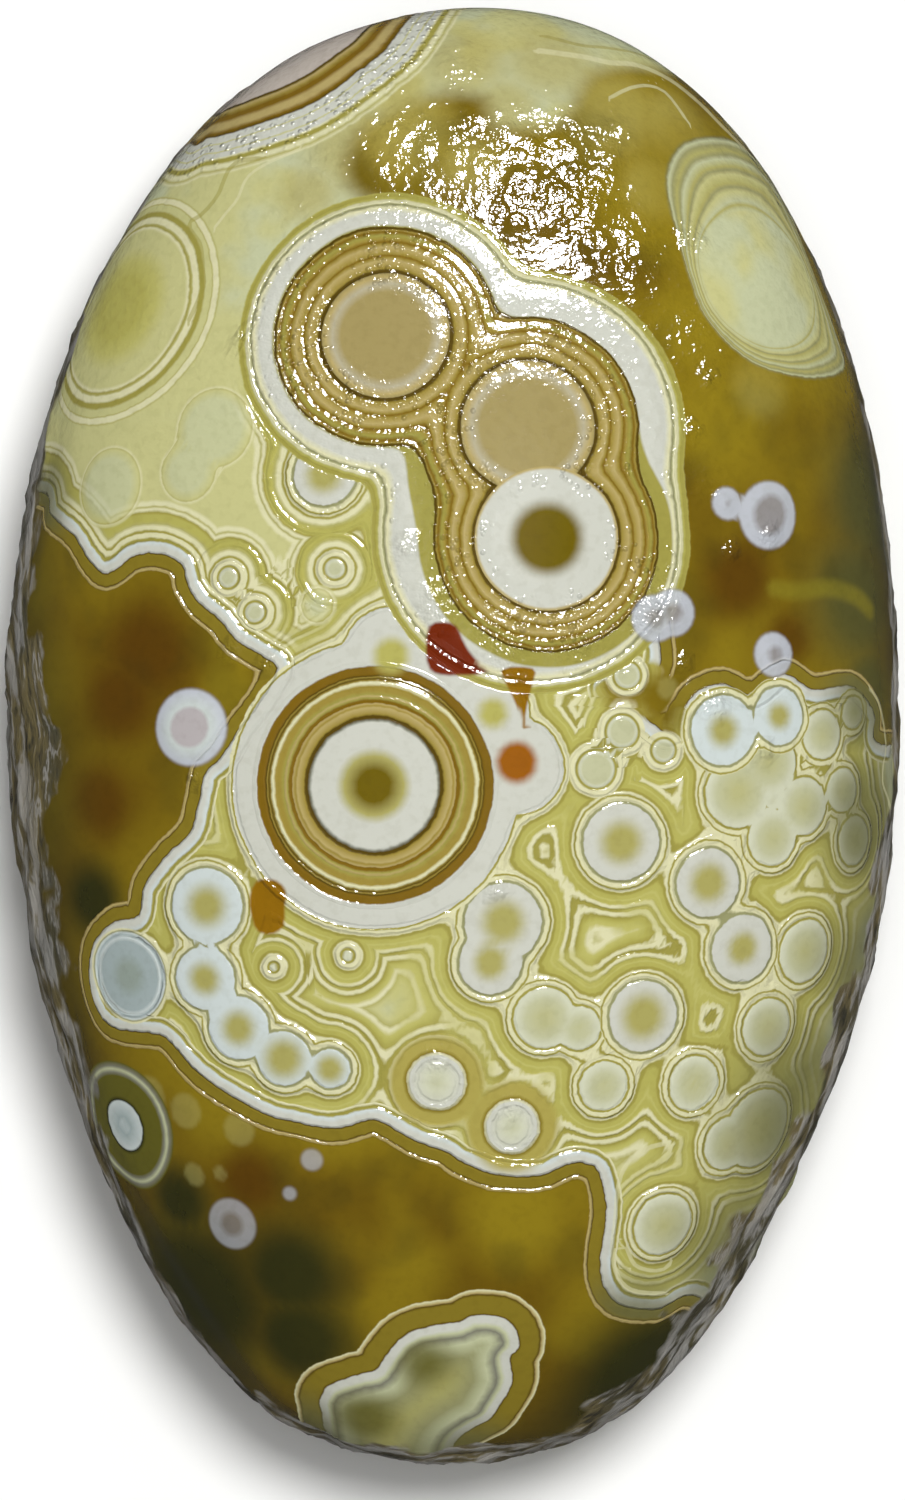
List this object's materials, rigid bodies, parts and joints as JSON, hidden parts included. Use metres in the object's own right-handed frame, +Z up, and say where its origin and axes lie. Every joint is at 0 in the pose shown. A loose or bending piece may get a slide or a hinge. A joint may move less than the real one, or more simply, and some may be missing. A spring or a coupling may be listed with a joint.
{
  "type": "gobi agate",
  "caption": "Glossy egg-shaped eye agate pebble with ringed eyes and olive bands, domed on top, resting on a small flat spot.",
  "frame": {"origin": "middle of the ground under the stone, on the plane of its flat resting spot", "axes": "+Z up, +Y along the stone's long axis towards its blunt smooth end, +X across its width, so that it is seen from above as in the picture"},
  "size_m": [0.0306, 0.05, 0.017],
  "materials": {
    "agate_stone": "natural gloss, olive and cream bands with ringed eyes"
  },
  "bodies": {
    "root": {"agate": "agate_stone"}
  },
  "joints": []
}
